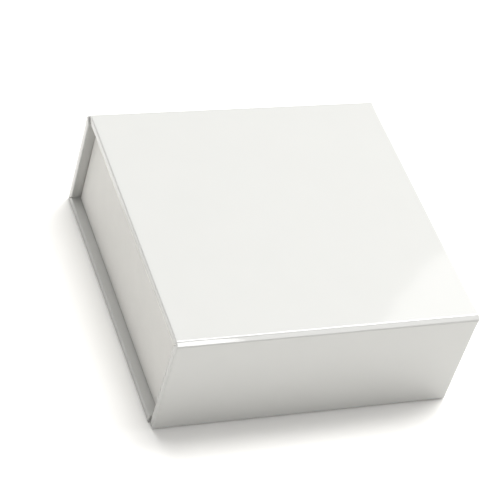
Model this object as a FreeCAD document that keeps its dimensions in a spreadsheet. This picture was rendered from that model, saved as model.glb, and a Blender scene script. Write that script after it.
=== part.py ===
import FreeCAD, Part
import Sketcher
import os

# Jewellery gift box: a rigid book-style case whose front flap is held shut by magnets, around a tray
# with a padded insert.  The case is four boards wrapped in one sheet of laminated paper: base, spine,
# lid and flap.  The sheet bends along two creases, lid to spine and lid to flap, and is folded sharp
# between base and spine.
#
# Frame: millimetres, +X along the spine, +Y from the flap to the spine, +Z up.  The origin is the
# middle of the box's underside.

SIZES = {
    # Outside of the closed box
    "box_width": 90.0,
    "box_depth": 90.0,
    "box_height": 35.0,
    # Case boards and papers
    "case_board": 2.0,
    "paper": 0.2,
    "lining": 0.2,
    "turn_in": 12.0,
    "lining_margin": 2.0,
    "crease_back": 2.0,
    "crease_front": 1.3,
    "mitre_gap": 0.3,
    "lid_trim": 0.4,
    "foot_gap": 0.3,
    # Tray
    "tray_recess": 2.8,
    "tray_board": 1.5,
    "stay_paper": 0.15,
    "stay_leg": 10.0,
    "lid_gap": 0.4,
    "flap_gap": 0.4,
    # Magnets
    "magnet_diameter": 10.0,
    "magnet_thickness": 1.0,
    "magnet_spacing": 46.0,
    "magnet_level": 13.0,
    "magnet_slack": 0.1,
    # Padded insert
    "pad_height": 16.0,
    "pad_slack": 0.4,
    "cover_cloth": 0.6,
    "cover_skirt": 9.0,
    "slit_length": 26.0,
    "slit_width": 1.4,
    "slit_depth": 11.0,
    "notch_spacing": 40.0,
    "notch_width": 1.2,
    "notch_length": 4.0,
    "notch_depth": 7.0,
}

X_AXIS = FreeCAD.Vector(1, 0, 0)


def s(name):
    """The expression that reads a size from the spreadsheet."""
    if name not in SIZES:
        raise KeyError(name)
    return "Sizes." + name


# Layers of a case panel, as depths below its outer face
UNDER_PAPER = s("paper")
UNDER_BOARD = f"({s('paper')} + {s('case_board')})"
UNDER_TURN_IN = f"(2 * {s('paper')} + {s('case_board')})"
UNDER_LINING = f"({UNDER_TURN_IN} + {s('lining')})"

# Tray: its outside, its boards inside the wrap, and its clear inside, as half sizes and levels
TRAY_HALF_X = f"({s('box_width')} / 2 - {s('tray_recess')})"
TRAY_FRONT = f"(-{s('box_depth')} / 2 + {UNDER_LINING} + {s('flap_gap')})"
TRAY_BACK = f"({s('box_depth')} / 2 - {UNDER_TURN_IN})"
TRAY_DEPTH = f"({TRAY_BACK} - {TRAY_FRONT})"
TRAY_MID_Y = f"(({TRAY_BACK} + {TRAY_FRONT}) / 2)"
TRAY_BOTTOM = UNDER_TURN_IN
TRAY_RIM = f"({s('box_height')} - {UNDER_LINING} - {s('lid_gap')})"
TRAY_HEIGHT = f"({TRAY_RIM} - {TRAY_BOTTOM})"
SKIN_TO_BOARD = f"({s('paper')} + {s('stay_paper')})"
SKIN_TO_INNER_PAPER = f"({SKIN_TO_BOARD} + {s('tray_board')})"
TRAY_WALL = f"({SKIN_TO_INNER_PAPER} + {s('paper')})"
BOARD_HEIGHT = f"({TRAY_HEIGHT} - {s('paper')})"
FLOOR_LEVEL = f"({TRAY_BOTTOM} + {s('tray_board')} + {s('lining')})"

# Padded insert: the foam inside its cloth
PAD_HALF_X = f"({TRAY_HALF_X} - {TRAY_WALL} - {s('pad_slack')} - {s('cover_cloth')})"
PAD_HALF_Y = f"({TRAY_DEPTH} / 2 - {TRAY_WALL} - {s('pad_slack')} - {s('cover_cloth')})"


def make_sheet(doc):
    """The spreadsheet of driving sizes, one aliased number to a row."""
    sheet = doc.addObject("Spreadsheet::Sheet", "Sizes")
    for row, (name, value) in enumerate(SIZES.items(), start=1):
        sheet.set(f"A{row}", name)
        sheet.set(f"B{row}", str(value))
        sheet.setAlias(f"B{row}", name)
    doc.recompute()
    return sheet


def place(item, x="0", y="0", z="0", turn=0.0):
    """Put an object at a place given by expressions, turned about X by some degrees."""
    item.Placement = FreeCAD.Placement(FreeCAD.Vector(), FreeCAD.Rotation(X_AXIS, turn))
    for axis, expression in zip("xyz", (x, y, z)):
        item.setExpression(f"Placement.Base.{axis}", expression)


def make_body(doc, label):
    """An empty body whose label names its piece."""
    body = doc.addObject("PartDesign::Body", "Body_" + label)
    body.Label = label
    return body


def make_sketch(body, name, plane, level="0"):
    """A sketch on one of the body's own origin planes, raised along the plane's normal."""
    sketch = body.newObject("Sketcher::SketchObject", f"{name}_{body.Label}")
    support = next(item for item in body.Origin.OriginFeatures if item.Role == plane)
    sketch.AttachmentSupport = [(support, "")]
    sketch.MapMode = "FlatFace"
    sketch.setExpression("AttachmentOffset.Base.z", level)
    return sketch


def bind(sketch, kind, geometry, point, expression):
    """Drive one coordinate of a sketch point, or a circle's radius, with an expression."""
    value = float(sketch.evalExpression(expression))
    if kind == "Radius":
        constraint = Sketcher.Constraint(kind, geometry, value)
    else:
        constraint = Sketcher.Constraint(kind, geometry, point, value)
    index = sketch.addConstraint(constraint)
    sketch.setExpression(f"Constraints[{index}]", expression)


def draw_outline(sketch, points):
    """A closed outline of straight lines through points given as pairs of expressions."""
    places = []
    for across, up in points:
        places.append(
            FreeCAD.Vector(float(sketch.evalExpression(across)), float(sketch.evalExpression(up)), 0)
        )
    first = sketch.GeometryCount
    count = len(points)
    for index in range(count):
        sketch.addGeometry(Part.LineSegment(places[index], places[(index + 1) % count]), False)
    for index in range(count):
        following = first + (index + 1) % count
        sketch.addConstraint(Sketcher.Constraint("Coincident", first + index, 2, following, 1))
    for index, (across, up) in enumerate(points):
        bind(sketch, "DistanceX", first + index, 1, across)
        bind(sketch, "DistanceY", first + index, 1, up)


def draw_rectangle(sketch, half_x, half_y, mid_x="0", mid_y="0"):
    """An upright rectangle about a middle point."""
    draw_outline(
        sketch,
        [
            (f"{mid_x} - {half_x}", f"{mid_y} - {half_y}"),
            (f"{mid_x} + {half_x}", f"{mid_y} - {half_y}"),
            (f"{mid_x} + {half_x}", f"{mid_y} + {half_y}"),
            (f"{mid_x} - {half_x}", f"{mid_y} + {half_y}"),
        ],
    )


def draw_circle(sketch, across, up, radius):
    """A circle whose middle and radius are expressions."""
    middle = FreeCAD.Vector(float(sketch.evalExpression(across)), float(sketch.evalExpression(up)), 0)
    size = float(sketch.evalExpression(radius))
    index = sketch.addGeometry(Part.Circle(middle, FreeCAD.Vector(0, 0, 1), size), False)
    bind(sketch, "DistanceX", index, 3, across)
    bind(sketch, "DistanceY", index, 3, up)
    bind(sketch, "Radius", index, 0, radius)


def pad(body, name, sketch, length, both_ways=False):
    """Extrude a sketch, along its normal or half each way."""
    feature = body.newObject("PartDesign::Pad", f"{name}_{body.Label}")
    feature.Profile = sketch
    feature.Midplane = both_ways
    feature.setExpression("Length", length)
    body.Document.recompute()
    return feature


def pocket(body, name, sketch, length, both_ways=False, upward=False):
    """Cut a sketch's outline out of the body, and make sure that the cut removed something."""
    volume_before = body.Shape.Volume
    feature = body.newObject("PartDesign::Pocket", f"{name}_{body.Label}")
    feature.Profile = sketch
    feature.Midplane = both_ways
    feature.Reversed = upward
    feature.setExpression("Length", length)
    body.Document.recompute()
    if not body.Shape.Volume < volume_before:
        raise RuntimeError(f"{feature.Name} cut nothing")
    return feature


def make_box(doc, label, size, corner):
    """A plain rectangular board from expressions for its size and its lowest corner."""
    board = doc.addObject("Part::Box", "Box_" + label)
    board.Label = label
    for side, expression in zip(("Length", "Width", "Height"), size):
        board.setExpression(side, expression)
    place(board, *corner)
    return board


# ---- The case ----------------------------------------------------------------------------------
#
# Each panel is drawn in its own frame: X along the box, Y from the panel's first edge to its second,
# Z inward from its outer face.  An edge is one of three kinds:
#   ("crease", size)   a 45 degree facet of bridging paper, then a mitre
#   ("corner", None)   a sharp 45 degree mitre against the fixed neighbour
#   ("free", inset)    a square edge, wrapped round, that stands this far inside the panel's end


def board_edge(edge):
    """The board's edge, outer face first, as distances from the panel's end and depths."""
    kind, size = edge
    if kind == "crease":
        facet = f"({size} / 2 + {s('paper')})"
        return [
            (f"({size} + {s('paper')})", UNDER_PAPER),
            (f"({facet} + {s('mitre_gap')} / 2)", f"({facet} - {s('mitre_gap')} / 2)"),
            (f"({UNDER_BOARD} + {s('mitre_gap')})", UNDER_BOARD),
        ]
    if kind == "corner":
        return [(UNDER_PAPER, UNDER_PAPER), (UNDER_BOARD, UNDER_BOARD)]
    return [(f"({size} + {s('paper')})", depth) for depth in (UNDER_PAPER, UNDER_BOARD)]


def wrap_edge(edge):
    """The edge of the wrapped panel, outer face first."""
    kind, size = edge
    if kind == "crease":
        last = (f"({UNDER_TURN_IN} + {s('mitre_gap')})", UNDER_TURN_IN)
        return [(size, "0")] + board_edge(edge)[:2] + [last]
    if kind == "corner":
        return [("0", "0"), (UNDER_TURN_IN, UNDER_TURN_IN)]
    return [(size, "0"), (size, UNDER_TURN_IN)]


def panel_outline(length, start, end):
    """A panel's section from the points of its two edges."""
    far_side = [(f"{length} - {inset}", depth) for inset, depth in end]
    return start + far_side[::-1]


class Panel:
    """One wrapped board of the case: its length, half width, two edges and place."""

    def __init__(self, name, length, half_width, first_edge, second_edge, corner, turn):
        self.name = name
        self.length = length
        self.half_width = half_width
        self.edges = (first_edge, second_edge)
        self.corner = corner
        self.turn = turn

    def inset(self, edge, margin):
        """How far a cut stays inside an edge: none at a fold, a margin at a free edge."""
        kind, size = edge
        return f"({size} + {margin})" if kind == "free" else "0"

    def span(self, margin, top, bottom):
        """A rectangular section between two depths, kept inside the free edges."""
        start = self.inset(self.edges[0], margin)
        stop = f"({self.length} - {self.inset(self.edges[1], margin)})"
        return [(start, top), (stop, top), (stop, bottom), (start, bottom)]

    def put(self, body):
        """Move a body from the panel's own frame to its place in the box."""
        x, y, z = self.corner
        place(body, x, y, z, self.turn)


def make_case_board(doc, panel):
    """The greyboard of one panel."""
    body = make_body(doc, panel.name + "_board")
    sketch = make_sketch(body, "Section", "YZ_Plane")
    draw_outline(sketch, panel_outline(panel.length, *(board_edge(edge) for edge in panel.edges)))
    pad(body, "Board", sketch, f"2 * ({panel.half_width} - {s('paper')})", both_ways=True)
    panel.put(body)
    return body


def make_wrap(doc, panel):
    """The laminated paper of one panel: outer sheet, sides over the board's ends, and turn-ins."""
    body = make_body(doc, panel.name + "_wrap")
    outside = make_sketch(body, "Outside", "YZ_Plane")
    draw_outline(outside, panel_outline(panel.length, *(wrap_edge(edge) for edge in panel.edges)))
    pad(body, "Outside_pad", outside, f"2 * {panel.half_width}", both_ways=True)
    board_space = make_sketch(body, "BoardSpace", "YZ_Plane")
    draw_outline(board_space, panel.span(s("paper"), UNDER_PAPER, UNDER_BOARD))
    board_width = f"2 * ({panel.half_width} - {s('paper')})"
    pocket(body, "BoardSpace_cut", board_space, board_width, both_ways=True)
    window = make_sketch(body, "Window", "YZ_Plane")
    draw_outline(window, panel.span(s("turn_in"), UNDER_BOARD, UNDER_TURN_IN))
    window_width = f"2 * ({panel.half_width} - {s('turn_in')})"
    pocket(body, "Window_cut", window, window_width, both_ways=True)
    panel.put(body)
    return body


def make_lining(doc, panel):
    """The plain paper that covers the inside of a moving panel."""
    body = make_body(doc, panel.name + "_lining")
    margin = s("lining_margin")
    ends = []
    for kind, size in panel.edges:
        folded = f"({UNDER_LINING} + {s('mitre_gap')} + {margin})"
        ends.append(folded if kind == "crease" else f"({size} + {margin})")
    start, stop = ends[0], f"({panel.length} - {ends[1]})"
    sketch = make_sketch(body, "Section", "YZ_Plane")
    corners = [(start, UNDER_TURN_IN), (stop, UNDER_TURN_IN), (stop, UNDER_LINING), (start, UNDER_LINING)]
    draw_outline(sketch, corners)
    pad(body, "Sheet", sketch, f"2 * ({panel.half_width} - {margin})", both_ways=True)
    panel.put(body)
    return body


def make_crease(doc, label, size, half_width, corner, turn):
    """The strip of paper that bridges the gap between two hinged boards, at 45 degrees."""
    body = make_body(doc, label)
    sketch = make_sketch(body, "Section", "YZ_Plane")
    beyond = f"({size} + {s('paper')})"
    draw_outline(sketch, [(size, "0"), (beyond, s("paper")), (s("paper"), beyond), ("0", size)])
    pad(body, "Strip", sketch, f"2 * {half_width}", both_ways=True)
    place(body, *corner, turn)
    return body


def make_case(doc):
    """Base, spine, lid and flap, with the two creases that hinge them."""
    half_base = f"({s('box_width')} / 2)"
    half_lid = f"({s('box_width')} / 2 - {s('lid_trim')})"
    front = f"-{s('box_depth')} / 2"
    back = f"{s('box_depth')} / 2"
    top = s("box_height")
    crease_back = ("crease", s("crease_back"))
    crease_front = ("crease", s("crease_front"))
    base_front = ("free", f"({UNDER_LINING} + {s('flap_gap')})")
    fold = ("corner", None)
    base = Panel("base", s("box_depth"), half_base, base_front, fold, ("0", front, "0"), 0)
    spine = Panel("spine", s("box_height"), half_base, fold, crease_back, ("0", back, "0"), 90)
    lid = Panel("lid", s("box_depth"), half_lid, crease_back, crease_front, ("0", back, top), 180)
    foot = ("free", s("foot_gap"))
    flap = Panel("flap", s("box_height"), half_lid, crease_front, foot, ("0", front, top), -90)
    pieces = []
    for panel in (base, spine, lid):
        pieces.append(make_case_board(doc, panel))
        pieces.append(make_wrap(doc, panel))
    pieces.append(cut_magnet_seats(make_case_board(doc, flap), UNDER_BOARD))
    pieces.append(make_wrap(doc, flap))
    pieces.append(make_lining(doc, lid))
    pieces.append(make_lining(doc, flap))
    pieces.append(make_crease(doc, "back_crease", s("crease_back"), half_lid, ("0", back, top), 180))
    pieces.append(make_crease(doc, "front_crease", s("crease_front"), half_lid, ("0", front, top), -90))
    return pieces


# ---- Magnets -----------------------------------------------------------------------------------


def cut_magnet_seats(body, face_level):
    """Two blind round seats in the flap board's inner face, which stands at this depth."""
    sketch = make_sketch(body, "MagnetSeats", "XY_Plane", face_level)
    radius = f"({s('magnet_diameter')} / 2 + {s('magnet_slack')})"
    down = f"({s('box_height')} - {s('magnet_level')})"
    for side in ("-", ""):
        draw_circle(sketch, f"{side}{s('magnet_spacing')} / 2", down, radius)
    pocket(body, "MagnetSeats_cut", sketch, s("magnet_thickness"))
    return body


def make_magnet(doc, label, x, y):
    """A disc magnet that lies along Y, from this place toward the back."""
    disc = doc.addObject("Part::Cylinder", "Disc_" + label)
    disc.Label = label
    disc.setExpression("Radius", f"{s('magnet_diameter')} / 2")
    disc.setExpression("Height", s("magnet_thickness"))
    place(disc, x, y, s("magnet_level"), -90)
    return disc


def make_magnets(doc):
    """One pair in the flap board and one pair in the tray's front wall, face to face."""
    flap_y = f"-{s('box_depth')} / 2 + {UNDER_BOARD} - {s('magnet_thickness')}"
    tray_y = f"{TRAY_FRONT} + {SKIN_TO_BOARD}"
    discs = []
    for owner, y in (("flap", flap_y), ("tray", tray_y)):
        for hand, sign in (("left", "-"), ("right", "")):
            label = f"{owner}_magnet_{hand}"
            discs.append(make_magnet(doc, label, f"{sign}{s('magnet_spacing')} / 2", y))
    return discs


# ---- The tray ----------------------------------------------------------------------------------


def make_tray_front_wall(doc):
    """The front wall, drawn standing, with the magnets' seats in its outer face."""
    body = make_body(doc, "tray_front_wall")
    half_x = f"({TRAY_HALF_X} - {SKIN_TO_BOARD})"
    outline = make_sketch(body, "Outline", "XZ_Plane")
    draw_rectangle(outline, half_x, f"{BOARD_HEIGHT} / 2", mid_y=f"{BOARD_HEIGHT} / 2")
    wall = pad(body, "Wall", outline, s("tray_board"))
    wall.Reversed = True
    seats = make_sketch(body, "MagnetSeats", "XZ_Plane")
    radius = f"({s('magnet_diameter')} / 2 + {s('magnet_slack')})"
    for side in ("-", ""):
        level = f"({s('magnet_level')} - {TRAY_BOTTOM})"
        draw_circle(seats, f"{side}{s('magnet_spacing')} / 2", level, radius)
    doc.recompute()
    pocket(body, "MagnetSeats_cut", seats, s("magnet_thickness"))
    place(body, "0", f"{TRAY_FRONT} + {SKIN_TO_BOARD}", TRAY_BOTTOM)
    return body


def make_tray_boards(doc):
    """Bottom, back and the two end walls; the ends stand between front and back."""
    thick = s("tray_board")
    outer_x = f"({TRAY_HALF_X} - {SKIN_TO_BOARD})"
    back_y = f"({TRAY_BACK} - {SKIN_TO_INNER_PAPER})"
    end_y = f"({TRAY_FRONT} + {SKIN_TO_INNER_PAPER})"
    end_length = f"({back_y} - {end_y})"
    back_size = (f"2 * {outer_x}", thick, BOARD_HEIGHT)
    back_wall = make_box(doc, "tray_back_wall", back_size, (f"-{outer_x}", back_y, TRAY_BOTTOM))
    boards = [back_wall]
    for hand, x in (("left", f"-{outer_x}"), ("right", f"{outer_x} - {thick}")):
        size = (thick, end_length, BOARD_HEIGHT)
        boards.append(make_box(doc, f"tray_{hand}_wall", size, (x, end_y, TRAY_BOTTOM)))
    inner_x = f"({TRAY_HALF_X} - {TRAY_WALL})"
    inner_size = (f"2 * {inner_x}", f"{TRAY_DEPTH} - 2 * {TRAY_WALL}")
    inner_corner = (f"-{inner_x}", f"{TRAY_FRONT} + {TRAY_WALL}")
    bottom_size = inner_size + (thick,)
    boards.append(make_box(doc, "tray_bottom", bottom_size, inner_corner + (TRAY_BOTTOM,)))
    lining_level = f"{TRAY_BOTTOM} + {thick}"
    lining_size = inner_size + (s("lining"),)
    boards.append(make_box(doc, "tray_floor_lining", lining_size, inner_corner + (lining_level,)))
    return boards


def make_tray_wrap(doc):
    """The tray's paper: up the outside, over the rim and down the inside of all four walls."""
    body = make_body(doc, "tray_wrap")
    outside = make_sketch(body, "Outside", "XY_Plane")
    draw_rectangle(outside, TRAY_HALF_X, f"{TRAY_DEPTH} / 2")
    pad(body, "Block", outside, TRAY_HEIGHT)
    inside = make_sketch(body, "Inside", "XY_Plane")
    draw_rectangle(inside, f"({TRAY_HALF_X} - {TRAY_WALL})", f"({TRAY_DEPTH} / 2 - {TRAY_WALL})")
    pocket(body, "Inside_cut", inside, TRAY_HEIGHT, upward=True)
    board_space = make_sketch(body, "BoardSpace", "XY_Plane")
    for depth in (s("paper"), SKIN_TO_INNER_PAPER):
        draw_rectangle(board_space, f"({TRAY_HALF_X} - {depth})", f"({TRAY_DEPTH} / 2 - {depth})")
    pocket(body, "BoardSpace_cut", board_space, BOARD_HEIGHT, upward=True)
    place(body, "0", TRAY_MID_Y, TRAY_BOTTOM)
    return body


def make_corner_stays(doc):
    """Paper tapes round the four outer corners of the tray boards, under the wrap."""
    stays = []
    thick = s("stay_paper")
    leg = s("stay_leg")
    for end, y in (("front", f"{TRAY_FRONT} + {s('paper')}"), ("back", f"{TRAY_BACK} - {s('paper')}")):
        for hand, sign in (("left", 1), ("right", -1)):
            body = make_body(doc, f"corner_stay_{end}_{hand}")
            up = 1 if end == "front" else -1
            points = [("0", "0"), (leg, "0"), (leg, thick), (thick, thick), (thick, leg), ("0", leg)]
            turned = [(f"{sign} * {across}", f"{up} * {along}") for across, along in points]
            sketch = make_sketch(body, "Section", "XY_Plane")
            draw_outline(sketch, turned)
            pad(body, "Tape", sketch, BOARD_HEIGHT)
            place(body, f"{-sign} * ({TRAY_HALF_X} - {s('paper')})", y, TRAY_BOTTOM)
            stays.append(body)
    return stays


# ---- The padded insert -------------------------------------------------------------------------


def draw_cuts(sketch, kinds):
    """The ring slit, or the two chain notches at the back edge, as rectangles."""
    if "slit" in kinds:
        draw_rectangle(sketch, f"{s('slit_length')} / 2", f"{s('slit_width')} / 2")
    if "notches" in kinds:
        middle = f"({PAD_HALF_Y} + {s('cover_cloth')} - {s('notch_length')} / 2)"
        for side in ("-", ""):
            across = f"{side}{s('notch_spacing')} / 2"
            draw_rectangle(sketch, f"{s('notch_width')} / 2", f"{s('notch_length')} / 2", across, middle)


def make_pad(doc):
    """The foam block, cut for a ring and for a chain."""
    body = make_body(doc, "insert_foam")
    outline = make_sketch(body, "Outline", "XY_Plane")
    draw_rectangle(outline, PAD_HALF_X, PAD_HALF_Y)
    pad(body, "Block", outline, s("pad_height"))
    for kind, depth in (("slit", s("slit_depth")), ("notches", s("notch_depth"))):
        cuts = make_sketch(body, kind, "XY_Plane", s("pad_height"))
        draw_cuts(cuts, (kind,))
        pocket(body, kind + "_cut", cuts, depth)
    place(body, "0", TRAY_MID_Y, FLOOR_LEVEL)
    return body


def make_pad_cover(doc):
    """The pile cloth over the foam's top, glued down round its sides."""
    body = make_body(doc, "insert_cover")
    cloth = s("cover_cloth")
    outline = make_sketch(body, "Outline", "XY_Plane")
    draw_rectangle(outline, f"({PAD_HALF_X} + {cloth})", f"({PAD_HALF_Y} + {cloth})")
    pad(body, "Block", outline, f"{s('cover_skirt')} + {cloth}")
    foam = make_sketch(body, "FoamSpace", "XY_Plane")
    draw_rectangle(foam, PAD_HALF_X, PAD_HALF_Y)
    pocket(body, "FoamSpace_cut", foam, s("cover_skirt"), upward=True)
    cuts = make_sketch(body, "Cuts", "XY_Plane", f"{s('cover_skirt')} + {cloth}")
    draw_cuts(cuts, ("slit", "notches"))
    pocket(body, "Cuts_cut", cuts, f"{s('notch_depth')} + {cloth}")
    place(body, "0", TRAY_MID_Y, f"{FLOOR_LEVEL} + {s('pad_height')} - {s('cover_skirt')}")
    return body


def check_document(doc, pieces):
    """Stop if any object failed to compute or any piece has no valid solid."""
    for item in doc.Objects:
        if "Invalid" in item.State or "Error" in item.State:
            raise RuntimeError(f"{item.Name} failed: {item.State}")
    for piece in pieces:
        shape = piece.Shape
        if shape.isNull() or not shape.isValid() or len(shape.Solids) != 1:
            raise RuntimeError(f"{piece.Label} is not one valid solid")


def main():
    doc = FreeCAD.newDocument("jewelry_gift_box")
    make_sheet(doc)
    pieces = make_case(doc) + make_magnets(doc)
    pieces += [make_tray_front_wall(doc)] + make_tray_boards(doc)
    pieces += [make_tray_wrap(doc)] + make_corner_stays(doc)
    pieces += [make_pad(doc), make_pad_cover(doc)]
    doc.recompute()
    check_document(doc, pieces)
    os.makedirs("parts", exist_ok=True)
    for piece in pieces:
        piece.Shape.exportStep(os.path.join("parts", piece.Label + ".step"))
        print(f"{piece.Label:28s} {piece.Shape.Volume:10.2f} mm3")
    print(len(pieces), "pieces")


main()
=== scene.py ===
"""Jewelry gift box: a rigid book-style case in gloss laminated paper, round a tray with a padded insert.

Laid out as an add-on and run as a script.  Everything is in metres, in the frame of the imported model: X
along the spine, Y from the flap at the front to the spine at the back, Z up.
"""

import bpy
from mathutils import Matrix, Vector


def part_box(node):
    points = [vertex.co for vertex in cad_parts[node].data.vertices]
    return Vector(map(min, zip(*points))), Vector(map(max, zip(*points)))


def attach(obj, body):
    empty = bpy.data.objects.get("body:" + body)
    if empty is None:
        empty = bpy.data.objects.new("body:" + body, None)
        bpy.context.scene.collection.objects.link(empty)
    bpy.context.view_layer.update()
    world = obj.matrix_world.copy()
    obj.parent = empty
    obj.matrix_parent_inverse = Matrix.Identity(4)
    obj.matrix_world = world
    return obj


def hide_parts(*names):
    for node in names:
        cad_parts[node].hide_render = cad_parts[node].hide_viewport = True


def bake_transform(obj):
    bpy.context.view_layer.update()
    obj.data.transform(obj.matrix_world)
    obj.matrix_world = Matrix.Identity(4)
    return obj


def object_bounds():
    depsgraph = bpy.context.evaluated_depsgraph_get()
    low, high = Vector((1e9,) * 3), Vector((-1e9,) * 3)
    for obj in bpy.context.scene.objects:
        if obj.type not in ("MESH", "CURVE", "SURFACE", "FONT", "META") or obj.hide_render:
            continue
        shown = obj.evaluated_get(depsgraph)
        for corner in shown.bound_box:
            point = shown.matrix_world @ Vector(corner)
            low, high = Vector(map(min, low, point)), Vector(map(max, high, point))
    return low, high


bl_info = {
    "name": "Jewelry gift box",
    "version": (1, 0, 0),
    "blender": (4, 5, 0),
    "location": "View3D > Sidebar > Gift Box",
    "description": "Builds a magnetic book-style gift box with its papers, tray and padded insert",
    "category": "Object",
}

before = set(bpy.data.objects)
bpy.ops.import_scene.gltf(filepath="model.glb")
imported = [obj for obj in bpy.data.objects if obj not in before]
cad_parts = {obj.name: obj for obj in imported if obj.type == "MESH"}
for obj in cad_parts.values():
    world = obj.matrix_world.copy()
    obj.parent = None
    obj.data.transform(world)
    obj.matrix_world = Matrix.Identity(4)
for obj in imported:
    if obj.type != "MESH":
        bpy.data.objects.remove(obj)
CAD_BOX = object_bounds()

import math

import bmesh
import bpy
from mathutils import Matrix, Vector, noise

MM = 0.001

# ---- Sizes that the CAD model sets ---------------------------------------------------------------

LOW, HIGH = (Vector(corner) for corner in CAD_BOX)
FRONT, BACK, TOP = LOW.y, HIGH.y, HIGH.z
LID_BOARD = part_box("lid_board")
PAPER = TOP - LID_BOARD[1].z
PANEL = 2 * PAPER + (LID_BOARD[1].z - LID_BOARD[0].z)
CREASE_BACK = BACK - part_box("back_crease")[0].y - PAPER
CREASE_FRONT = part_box("front_crease")[1].y - FRONT - PAPER
MITRE_GAP = 2 * (BACK - LID_BOARD[1].y - CREASE_BACK / 2 - PAPER)
HALF_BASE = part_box("base_wrap")[1].x
HALF_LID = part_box("lid_wrap")[1].x
TURN_IN = 12 * MM

# ---- How finely surfaces are divided -------------------------------------------------------------

SPACING = 3 * MM
SHOULDER = 0.3 * MM
ARC_STEPS = 4

GREYBOARDS = (
    "base_board",
    "spine_board",
    "lid_board",
    "flap_board",
    "tray_front_wall",
    "tray_back_wall",
    "tray_left_wall",
    "tray_right_wall",
    "tray_bottom",
)
CORNER_STAYS = tuple(f"corner_stay_{end}_{hand}" for end in ("front", "back") for hand in ("left", "right"))
MAGNETS = tuple(f"{owner}_magnet_{hand}" for owner in ("flap", "tray") for hand in ("left", "right"))


# ---- Materials -----------------------------------------------------------------------------------


class Finish:
    """A small writer of procedural materials: one principled shader and the textures that feed it."""

    def __init__(self, name):
        self.material = bpy.data.materials.new(name)
        self.material.use_nodes = True
        self.nodes = self.material.node_tree.nodes
        self.links = self.material.node_tree.links
        self.shader = self.nodes["Principled BSDF"]
        self.place = self.nodes.new("ShaderNodeTexCoord").outputs["Object"]

    def set(self, **values):
        """Set the shader's own sockets, with _ for a space in each socket's name."""
        for name, value in values.items():
            self.shader.inputs[name.replace("_", " ")].default_value = value
        return self

    def feed(self, socket, source):
        """Drive one of the shader's sockets from a source."""
        self.links.new(source, self.shader.inputs[socket])

    def stretched(self, scale):
        """The object's coordinates, scaled differently along each axis."""
        node = self.nodes.new("ShaderNodeMapping")
        node.inputs["Scale"].default_value = scale
        self.links.new(self.place, node.inputs["Vector"])
        return node.outputs["Vector"]

    def grain(self, size, detail=4.0, rough=0.55, place=None):
        """Cloudy noise whose largest features are about this size in metres."""
        node = self.nodes.new("ShaderNodeTexNoise")
        node.inputs["Scale"].default_value = 1.0 / size
        node.inputs["Detail"].default_value = detail
        node.inputs["Roughness"].default_value = rough
        self.links.new(place or self.place, node.inputs["Vector"])
        return node.outputs["Fac"]

    def cells(self, size, place=None):
        """Distance to the nearest of scattered points this far apart."""
        node = self.nodes.new("ShaderNodeTexVoronoi")
        node.inputs["Scale"].default_value = 1.0 / size
        self.links.new(place or self.place, node.inputs["Vector"])
        return node.outputs["Distance"]

    def ramp(self, source, *stops):
        """Colours along a source value: pairs of (position, colour)."""
        node = self.nodes.new("ShaderNodeValToRGB")
        elements = node.color_ramp.elements
        while len(elements) < len(stops):
            elements.new(0.5)
        for element, (position, colour) in zip(elements, stops):
            element.position = position
            element.color = (*colour, 1.0)
        self.links.new(source, node.inputs["Fac"])
        return node.outputs["Color"]

    def span(self, source, low, high, start=0.3, stop=0.7):
        """A number that goes from low to high as the source goes from start to stop."""
        node = self.nodes.new("ShaderNodeMapRange")
        node.inputs["From Min"].default_value = start
        node.inputs["From Max"].default_value = stop
        node.inputs["To Min"].default_value = low
        node.inputs["To Max"].default_value = high
        self.links.new(source, node.inputs["Value"])
        return node.outputs["Result"]

    def attribute(self, name):
        """A value stored on the mesh's points."""
        node = self.nodes.new("ShaderNodeAttribute")
        node.attribute_name = name
        return node.outputs["Fac"]

    def mix(self, amount, first, second):
        """Blend two colours by a source value; second is a source too or a plain colour."""
        node = self.nodes.new("ShaderNodeMix")
        node.data_type = "RGBA"
        self.links.new(amount, node.inputs["Factor"])
        self.links.new(first, node.inputs["A"])
        if isinstance(second, bpy.types.NodeSocket):
            self.links.new(second, node.inputs["B"])
        else:
            node.inputs["B"].default_value = (*second, 1.0)
        return node.outputs["Result"]

    def bump(self, *layers):
        """Stack bumps, each (source, strength, height in metres), into the shader's normal."""
        normal = None
        for source, strength, height in layers:
            node = self.nodes.new("ShaderNodeBump")
            node.inputs["Strength"].default_value = strength
            node.inputs["Distance"].default_value = height
            self.links.new(source, node.inputs["Height"])
            if normal:
                self.links.new(normal, node.inputs["Normal"])
            normal = node.outputs["Normal"]
        self.feed("Normal", normal)
        return self


def shade(colour, factor):
    """A colour made darker or lighter by a factor."""
    return tuple(min(1.0, channel * factor) for channel in colour)


def made_once(name, make, colour):
    """The material of this name, made the first time that it is asked for."""
    return bpy.data.materials.get(name) or make(name, colour)


def case_paper(settings):
    """The gloss paper that wraps the case: one material for its panels and creases."""
    return made_once("gloss_laminated_paper", laminated_paper, settings.wrap_colour)


def lining_paper(settings):
    """The matte paper that lines the lid and the flap."""
    return made_once("matte_lining_paper", uncoated_paper, settings.lining_colour)


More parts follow.
